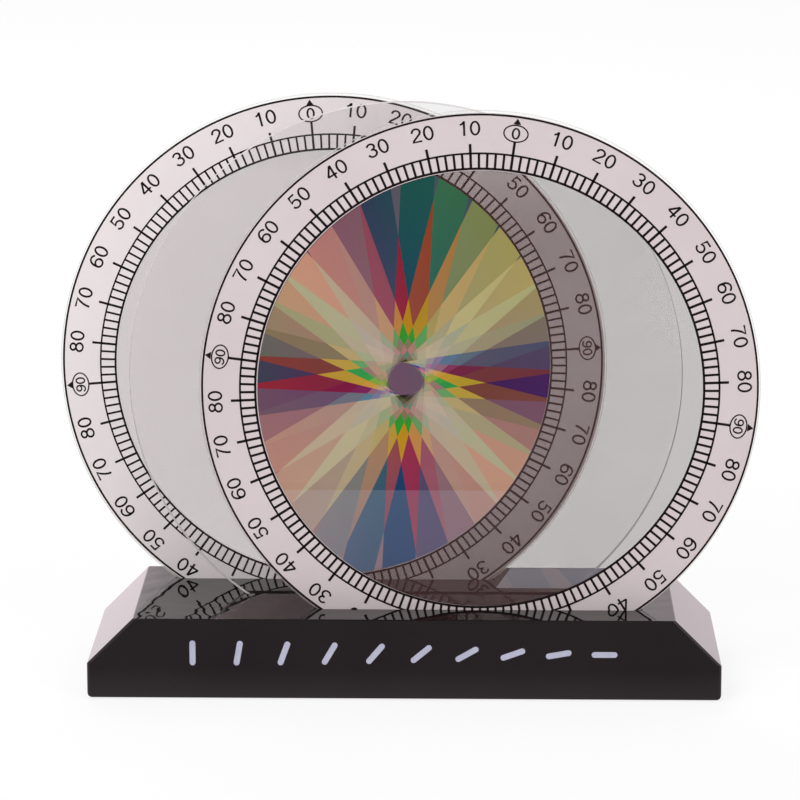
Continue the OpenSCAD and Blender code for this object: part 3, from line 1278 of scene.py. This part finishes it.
@dataclass
class ScalePrint:
    """The black print of an angle scale. Its outer circle was printed apart from the rest."""

    turn: float = 0.0
    aside: Flat = (0.0, 0.0)
    inner: float = 63.9
    inner_line: float = 0.6
    middle: float = 68.25
    middle_line: float = 0.48
    outer: float = 79.1
    outer_line: float = 0.58
    outer_aside: Flat = (0.0, 0.0)
    creep: tuple[float, float, float, float] = (0.0, 0.0, 0.0, 0.0)
    tick_width: float = 0.58
    long_width: float = 0.68
    long_end: float = 70.95
    numeral_radius: float = 75.4
    numeral_height: float = 4.2
    numeral_pitch: float = 3.42
    numeral_lag: float = 0.1
    oval_radius: float = 74.5
    oval: Flat = (3.4, 2.37)
    oval_line: float = 0.4
    small_heights: dict[str, float] = field(default_factory=lambda: {"0": 3.3, "90": 2.85})
    small_pitch: float = 2.25
    small_pen: float = 0.14
    pointer: Flat = (2.25, 1.7)

    def angle(self, degree: float) -> float:
        """Gives the place of a mark on the scale, which the printing moved a little.

        Args:
            degree: The mark's own angle in degrees.

        Returns:
            Its angle from upright, clockwise, in degrees.
        """
        place = math.radians(degree + self.turn)
        parts = (math.sin(place), math.cos(place), math.sin(2 * place), math.cos(2 * place))
        return degree + self.turn + sum(size * part for size, part in zip(self.creep, parts))

    def draw(self, layer: Layer) -> None:
        """Draws the scale.

        Args:
            layer: The layer of ink that it is drawn in.
        """
        middle = layer.centre
        layer.centre = (middle[0] + self.outer_aside[0], middle[1] + self.outer_aside[1])
        layer.band(self.outer - self.outer_line / 2, self.outer + self.outer_line / 2)
        layer.centre = (middle[0] + self.aside[0], middle[1] + self.aside[1])
        for radius, line in ((self.inner, self.inner_line), (self.middle, self.middle_line)):
            layer.band(radius - line / 2, radius + line / 2)
        for degree in range(0, 360, 2):
            end, width = self.middle, self.tick_width
            if degree % 90 == 0:
                end, width = self.oval_radius - self.oval[1], self.long_width
            elif degree % 10 == 0:
                end, width = self.long_end, self.long_width
            layer.tick(self.angle(degree), self.inner, end, width)
        for degree in range(0, 360, 10):
            value = degree % 180 if degree % 180 <= 90 else 180 - degree % 180
            angle = self.angle(degree)
            if value % 90:
                aside = angle - self.numeral_lag
                layer.numeral(str(value), self.numeral_height, self.numeral_radius, aside, self.numeral_pitch)
            else:
                self.draw_oval(layer, str(value), angle)

    def draw_oval(self, layer: Layer, text: str, angle: float) -> None:
        """Draws a framed number with its pointer.

        Args:
            layer: The layer of ink.
            text: The number.
            angle: Its angle in degrees.
        """
        at = turned((0.0, self.oval_radius), angle)
        half = self.oval_line / 2
        layer.band(1 - half, 1 + half, 72, self.oval, at, angle)
        height = self.small_heights[text]
        layer.numeral(text, height, self.oval_radius, angle, self.small_pitch, self.small_pen)
        tip = self.outer - self.outer_line / 2
        low = tip - self.pointer[1]
        corners = [(-self.pointer[0] / 2, low), (self.pointer[0] / 2, low), (0.0, tip)]
        layer.polygon([turned(corner, angle) for corner in corners])


@dataclass
class PolarizerDisc:
    """A polarizer disc: clear panes with a polarizing film, and a printed scale ring in front."""

    name: str
    body: str
    centre: Place
    film: Finish
    sheet: Finish
    scale: ScalePrint
    radius: float = 80.0
    pane: float = 0.8
    film_thickness: float = 0.2
    film_radius: float = 79.0
    ring: float = 0.25
    ring_gap: float = 0.03
    ring_radius: float = 79.4
    window: float = 63.5
    window_shift: Flat = (0.0, 0.0)
    ring_edge: float = 0.04
    ring_steps: int = 360

    @property
    def front_y(self) -> float:
        """The place of the disc's front face."""
        return self.centre[1] - (self.ring + 2 * self.pane + self.film_thickness) / 2

    def build_panes(self) -> None:
        """Builds both clear panes as one clear solid with a polished rim."""
        start = self.front_y + self.ring - self.centre[1]
        ends = (start, start + 2 * self.pane + self.film_thickness)
        panes = clear_panes(f"{self.name}_panes", self.centre, self.radius, ends, Shelf.pane, Shelf.rim)
        settle(panes, self.body, f"{self.name}_face_pane", f"{self.name}_back_pane")

    def build_film(self) -> None:
        """Builds the polarizing film as one flat sheet between the panes."""
        y = self.front_y + self.ring + self.pane + self.film_thickness / 2
        middle = (self.centre[0], y, self.centre[2])
        film = flat_disc(f"{self.name}_film", middle, self.film_radius, self.film)
        settle(film, self.body, f"{self.name}_polarizing_film")

    def build_ring(self) -> None:
        """Builds the ring with softened edges and its print."""
        start = self.front_y - self.centre[1]
        end = start + self.ring - self.ring_gap
        r, w, e = self.ring_radius, self.window, self.ring_edge
        profile = [(r - e, start), (r, start + e), (r, end), (w, end), (w, start + e), (w + e, start)]
        shift = {number: self.window_shift for number in (3, 4, 5)}
        shape = Shape()
        shape.turn(profile, self.centre, Axis.Y, self.ring_steps, (), shift)
        settle(shape.piece(f"{self.name}_ring", self.sheet), self.body, f"{self.name}_scale_ring")
        layer = Layer((self.centre[0], self.centre[2]), self.front_y - PRINT_STAND)
        self.scale.draw(layer)
        settle(layer.piece(f"{self.name}_scale_print", Shelf.black_ink), self.body)

    def build(self) -> None:
        """Builds and dresses the whole disc."""
        self.build_panes()
        self.build_film()
        self.build_ring()


def flat_disc(name: str, centre: Place, radius: float, finish: Finish) -> bpy.types.Object:
    """Makes a flat round sheet that faces the front.

    Args:
        name: The sheet's name.
        centre: Its centre.
        radius: Its radius.
        finish: Its finish.

    Returns:
        The sheet.
    """
    points = []
    for step in range(DISC_STEPS):
        u, v = turned((0.0, radius), -360.0 * step / DISC_STEPS)
        points.append((centre[0] + u, centre[1], centre[2] + v))
    shape = Shape()
    shape.add(points, [tuple(range(DISC_STEPS))])
    return shape.piece(name, finish, closed=False)


@dataclass
class PatternDisc:
    """The clear disc in the middle, with the crossed strips between its panes."""

    body: str = "pattern_disc"
    centre: Place = (0.0, 0.0, 88.9)
    radius: float = 80.0
    thickness: float = 2.24
    strips: StripPattern = field(default_factory=StripPattern)
    haze: Colour = (0.60, 0.60, 0.63)
    haze_first: float = 0.012
    haze_more: float = 0.006
    haze_most: float = 0.05

    def build_panes(self) -> None:
        """Builds both panes as one clear solid."""
        ends = (-self.thickness / 2, self.thickness / 2)
        panes = clear_panes("pattern_panes", self.centre, self.radius, ends, Shelf.hazy_pane, Shelf.lit_rim)
        settle(panes, self.body, "pattern_face_pane", "pattern_back_pane")

    def build_strips(self) -> None:
        """Builds the crossed strips as one faint sheet, cut along every edge."""
        turns = [-360.0 * step / self.strips.reach_steps for step in range(self.strips.reach_steps)]
        outline = [turned((0.0, self.strips.reach), turn) for turn in turns]
        cells = self.strips.cells(outline)
        bare = [face for face in cells.faces if not self.strips.covering(*centre_of(face))]
        bmesh.ops.delete(cells, geom=bare, context="FACES")
        tints = []
        for face in cells.faces:
            more = len(self.strips.covering(*centre_of(face))) - 1
            cover = min(self.haze_first + self.haze_more * more, self.haze_most)
            tints.append([(*self.haze, cover)] * len(face.verts))
        sheet = painted_sheet("pattern_strips", cells, Shelf.strips, tints, self.centre)
        numbers = range(1, self.strips.count + 1)
        settle(sheet, self.body, *(f"film_strip_{number:02d}" for number in numbers))

    def build(self) -> None:
        """Builds and dresses the whole disc."""
        self.build_panes()
        self.build_strips()


def centre_of(face: bmesh.types.BMFace) -> Flat:
    """The middle of a flat cell, sideways and up."""
    middle = face.calc_center_median()
    return middle.x, middle.z


@dataclass
class ColourSheet:
    """Interference colours on a thin sheet, where light passes both polarizers.

    It stands for light and not for a piece, so it stays with the base when a disc turns.
    """

    name: str
    side: Side
    eye: Place
    sheet_y: float
    windows: tuple[tuple[Flat, float, float], ...]
    edges: tuple[tuple[Flat, Flat], ...] = ()
    middle: Flat | None = None
    crossing: Place = (0.3, 0.0, 87.8)
    strips: StripPattern = field(default_factory=StripPattern)
    light: PolarizedLight = field(default_factory=PolarizedLight)
    cover: float = 0.97

    def seen_at(self, place: Place) -> tuple[Flat, float]:
        """Finds where a point behind the sheet is seen on it.

        Args:
            place: The point.

        Returns:
            Its place on the sheet, and how much smaller things at its depth look there.
        """
        share = (self.sheet_y - self.eye[1]) / (place[1] - self.eye[1])
        u = self.eye[0] + (place[0] - self.eye[0]) * share
        v = self.eye[2] + (place[2] - self.eye[2]) * share
        return (u, v), share

    def outline(self) -> list[Flat]:
        """The part of the sheet that is seen in all windows and inside all edges.

        Returns:
            Its corners, sideways and up from the crossing, anticlockwise as seen from the front.
        """
        (u0, v0), scale = self.seen_at(self.crossing)
        circles = []
        for (x, z), radius, y in self.windows:
            (u, v), share = self.seen_at((x, y, z))
            circles.append((((u - u0) / scale, (v - v0) / scale), radius * share / scale))
        middle = self.middle or tuple(sum(c[0][i] for c in circles) / len(circles) for i in range(2))
        points = []
        for step in range(720):
            direction = turned((0.0, 1.0), -0.5 * step)
            reach = min(self.ray(middle, direction, place, radius) for place, radius in circles)
            for place, outwards in self.edges:
                climb = direction[0] * outwards[0] + direction[1] * outwards[1]
                gap = (place[0] - middle[0]) * outwards[0] + (place[1] - middle[1]) * outwards[1]
                if climb * reach > gap:
                    reach = gap / climb
            points.append((middle[0] + direction[0] * reach, middle[1] + direction[1] * reach))
        return points

    @staticmethod
    def ray(start: Flat, direction: Flat, centre: Flat, radius: float) -> float:
        """How far a circle is from a point inside it, in one direction.

        Args:
            start: The point.
            direction: The direction, as a step of one unit.
            centre: The circle's centre.
            radius: The circle's radius.

        Returns:
            The distance.
        """
        du, dv = start[0] - centre[0], start[1] - centre[1]
        along = du * direction[0] + dv * direction[1]
        return -along + math.sqrt(along * along - du * du - dv * dv + radius * radius)

    def build(self) -> None:
        """Builds the sheet with one cell for each set of strips that overlap."""
        (u0, v0), share = self.seen_at(self.crossing)
        cells = self.strips.cells(self.outline(), self.light.shade[0])
        tints = []
        for face in cells.faces:
            place = centre_of(face)
            leans = self.strips.covering(*place)
            plain = [self.light.colour(leans, loop.vert.co.x, loop.vert.co.z) for loop in face.loops]
            tints.append([(*self.light.veiled(colour, place[1]), self.cover) for colour in plain])
        if self.side is Side.BACK:
            bmesh.ops.reverse_faces(cells, faces=cells.faces)
            tints = [list(reversed(corners)) for corners in tints]
        sheet = painted_sheet(self.name, cells, Shelf.colours, tints, (u0, self.sheet_y, v0), share)
        settle(sheet, "base")


# The studio


@dataclass
class Studio:
    """The camera, lamps, floor and surroundings."""

    eye: Place = (18.35, -1131.3, 334.1)
    yaw: float = -1.01
    pitch: float = 12.57
    lens: float = 180.2
    floor_glow: float = 0.82
    floor_shadow: float = 0.2
    floor_matt: float = 0.8
    floor_reach: float = 6.0
    sensor: float = 36.0
    clip: Flat = (0.05, 50.0)
    mirror_sideways: Flat = (1.42, 1.2)
    mirror_ends: Flat = (-0.12, 0.12)
    mirror_depth: Flat = (0.25, 1.0)
    mirror_depth_ends: Flat = (-0.06, 0.03)
    daylight: float = 0.5
    sky_levels: tuple[Flat, ...] = ((0.0, 1.3), (0.27, 1.12), (0.45, 1.05), (0.6, 0.25), (1.0, 0.12))
    sky_sideways: tuple[Flat, ...] = (
        (0.0, 1.0), (0.4565, 1.0), (0.475, 0.33), (0.51, 0.27), (0.518, 0.8), (1.0, 0.8),
    )
    sky_top: float = 0.8
    soft_box: float = 2.3
    soft_box_up: Flat = (0.5, 0.56)
    soft_box_aside: Flat = (-0.64, -0.72)
    aim: Place = (0.0, 0.0, 80.0)
    lamps: tuple[tuple[str, Place, float, float], ...] = (
        ("key_lamp", (-900.0, -1200.0, 1300.0), 900.0, 13.0),
        ("fill_lamp", (1100.0, -1100.0, 1000.0), 900.0, 5.0),
        ("rear_lamp", (-300.0, 1300.0, 1300.0), 900.0, 8.0),
    )

    def build_camera(self) -> None:
        """Places the camera at the photograph's viewing angle."""
        data = bpy.data.cameras.new("camera")
        data.lens, data.sensor_width = self.lens, self.sensor
        data.clip_start, data.clip_end = self.clip
        camera = bpy.data.objects.new("camera", data)
        bpy.context.scene.collection.objects.link(camera)
        yaw, pitch = math.radians(self.yaw), math.radians(self.pitch)
        level = math.cos(pitch)
        ahead = Vector((math.sin(yaw) * level, math.cos(yaw) * level, -math.sin(pitch)))
        camera.location = Vector(self.eye) * MM
        camera.rotation_euler = ahead.to_track_quat("-Z", "Y").to_euler()
        bpy.context.scene.camera = camera

    def build_lamps(self) -> None:
        """Hangs the soft lamps, each aimed at the discs."""
        for name, place, size, power in self.lamps:
            data = bpy.data.lights.new(name, "AREA")
            data.shape, data.size, data.energy = "SQUARE", size * MM, power
            lamp = bpy.data.objects.new(name, data)
            lamp.location = Vector(place) * MM
            aim = Vector(self.aim) * MM - lamp.location
            lamp.rotation_euler = aim.to_track_quat("-Z", "Y").to_euler()
            bpy.context.scene.collection.objects.link(lamp)

    def build_floor(self) -> None:
        """Lays a pale floor that is white to the camera and still takes the shadow.

        Gloss mirrors it as brightly lit behind the object, most on the left, and dim in front.
        """
        reach = self.floor_reach
        mesh = bpy.data.meshes.new("floor")
        corners = [(u * reach, v * reach, 0.0) for u, v in ((-1, -1), (1, -1), (1, 1), (-1, 1))]
        mesh.from_pydata(corners, [], [(0, 1, 2, 3)])
        floor = bpy.data.objects.new("floor", mesh)
        bpy.context.scene.collection.objects.link(floor)
        material = bpy.data.materials.new("pale_floor")
        material.use_nodes = True
        wiring = Wiring(material.node_tree)
        wiring.tree.nodes.clear()
        place = wiring.node("TexCoord", {}, "Object")
        sideways = wiring.spread(wiring.part(place, "X"), *self.mirror_sideways, *self.mirror_ends)
        depth = wiring.spread(wiring.part(place, "Y"), *self.mirror_depth, *self.mirror_depth_ends)
        level = wiring.combine("MULTIPLY", sideways, depth)
        mirrored = wiring.node("Emission", {"Color": (*MIRROR_TINT, 1.0), "Strength": level})
        faint = wiring.node("BsdfDiffuse", {"Color": (*(self.floor_shadow,) * 3, 1.0)})
        glow = wiring.node("Emission", {"Strength": self.floor_glow})
        lit = wiring.node("AddShader", {0: faint, 1: glow})
        matt = wiring.node("BsdfDiffuse", {"Color": (*(self.floor_matt,) * 3, 1.0)})
        shown = wiring.choose(Ray.GLOSSY, mirrored, matt)
        wiring.show("OutputMaterial", wiring.choose(Ray.CAMERA, lit, shown))
        mesh.materials.append(material)

    def build_world(self) -> None:
        """Surrounds the scene with white for the camera and soft light for the rest.

        What the gloss mirrors is bright near the horizon and darker above it.
        """
        world = bpy.data.worlds.new("studio")
        bpy.context.scene.world = world
        world.use_nodes = True
        wiring = Wiring(world.node_tree)
        wiring.tree.nodes.clear()
        direction = wiring.node("TexCoord", {}, "Generated")
        aside, up = wiring.part(direction, "X"), wiring.part(direction, "Z")
        level = wiring.ramp(wiring.spread(up, 0.0, 1.0, 0.0, self.sky_top), MIRROR_TINT, self.sky_levels)
        share = wiring.ramp(wiring.spread(aside, 0.0, 1.0, -1.0, 1.0), WHITE, self.sky_sideways)
        above = wiring.spread(up, 0.0, self.soft_box, *self.soft_box_up)
        box = wiring.combine("MULTIPLY", above, wiring.spread(aside, 0.0, 1.0, *self.soft_box_aside))
        sky = wiring.node("Background", {"Color": level, "Strength": share})
        tint = (*WHITE, 1.0)
        bright, daylight, white = (
            wiring.node("Background", {"Color": tint, "Strength": strength})
            for strength in (box, self.daylight, 1.0)
        )
        mirrored = wiring.node("AddShader", {0: sky, 1: bright})
        shown = wiring.choose(Ray.GLOSSY, mirrored, daylight)
        wiring.show("OutputWorld", wiring.choose(Ray.CAMERA, white, shown))

    def build(self) -> None:
        """Sets up the whole studio."""
        bpy.context.scene.view_settings.view_transform = "Standard"
        self.build_camera()
        self.build_lamps()
        self.build_floor()
        self.build_world()
        log.info("studio: %d lamps", len(self.lamps))


def main() -> None:
    """Builds the sub-assemblies in order and reports their pieces."""
    logging.basicConfig(level=logging.INFO, format="%(name)s %(message)s")
    studio = Studio()
    studio.build()
    BaseStand().build()
    rear = PolarizerDisc(
        "rear", "rear_disc", (-21.3, 16.7, 88.9), Shelf.rear_film, Shelf.bright_sheet,
        ScalePrint(
            turn=-4.56, aside=(-0.1, -0.1), outer=78.85, outer_aside=(-0.3, 0.25),
            creep=(0.35, -0.1, 0.0, -0.17),
        ),
    )
    front = PolarizerDisc(
        "front", "front_disc", (21.3, -16.7, 88.9), Shelf.front_film, Shelf.sheet,
        ScalePrint(
            turn=7.62, aside=(0.05, -0.3), outer_aside=(0.1, -0.13), creep=(0.25, 0.0, 0.0, 0.0),
            inner_line=0.68, middle_line=0.56, tick_width=0.7, long_width=0.76,
        ),
        window_shift=(0.2, -0.4),
    )
    rear.build()
    PatternDisc().build()
    front.build()
    windows = []
    for disc in (front, rear):
        middle = (disc.centre[0] + disc.window_shift[0], disc.centre[2] + disc.window_shift[1])
        windows.append((middle, disc.window - WINDOW_GAP, disc.front_y))
    eye = studio.eye
    behind = (-eye[0], -eye[1], eye[2])
    rear_y = rear.centre[1] + (rear.centre[1] - rear.front_y)
    front_y = front.front_y
    ColourSheet("front_colours", Side.FRONT, eye, front_y + SHEET_GAPS["front"], tuple(windows)).build()
    ColourSheet("rear_colours", Side.BACK, behind, rear_y + SHEET_GAPS["rear"], tuple(windows)).build()
    # Painted reflection: the colours of the base's polarized reflection, seen through the strips and the
    # front polarizer, low in the front window.
    mirrored = replace(
        PolarizedLight(), polarizer=0.35, gain=(0.15, 0.12, 0.033), haze=(0.258, 0.234, 0.29),
        veil=(0.0, 0.0, 0.0),
    )
    ColourSheet(
        "base_reflection_colours", Side.FRONT, eye, front_y + SHEET_GAPS["base"], tuple(windows[:1]),
        (((40.0, -56.2), (0.0, 1.0)), ((40.0, -62.2), (0.0, -1.0)), ((30.4, -56.2), (-0.81, 0.58))),
        (42.0, -58.5), light=mirrored, cover=0.75,
    ).build()


if __name__ == "__main__":
    main()
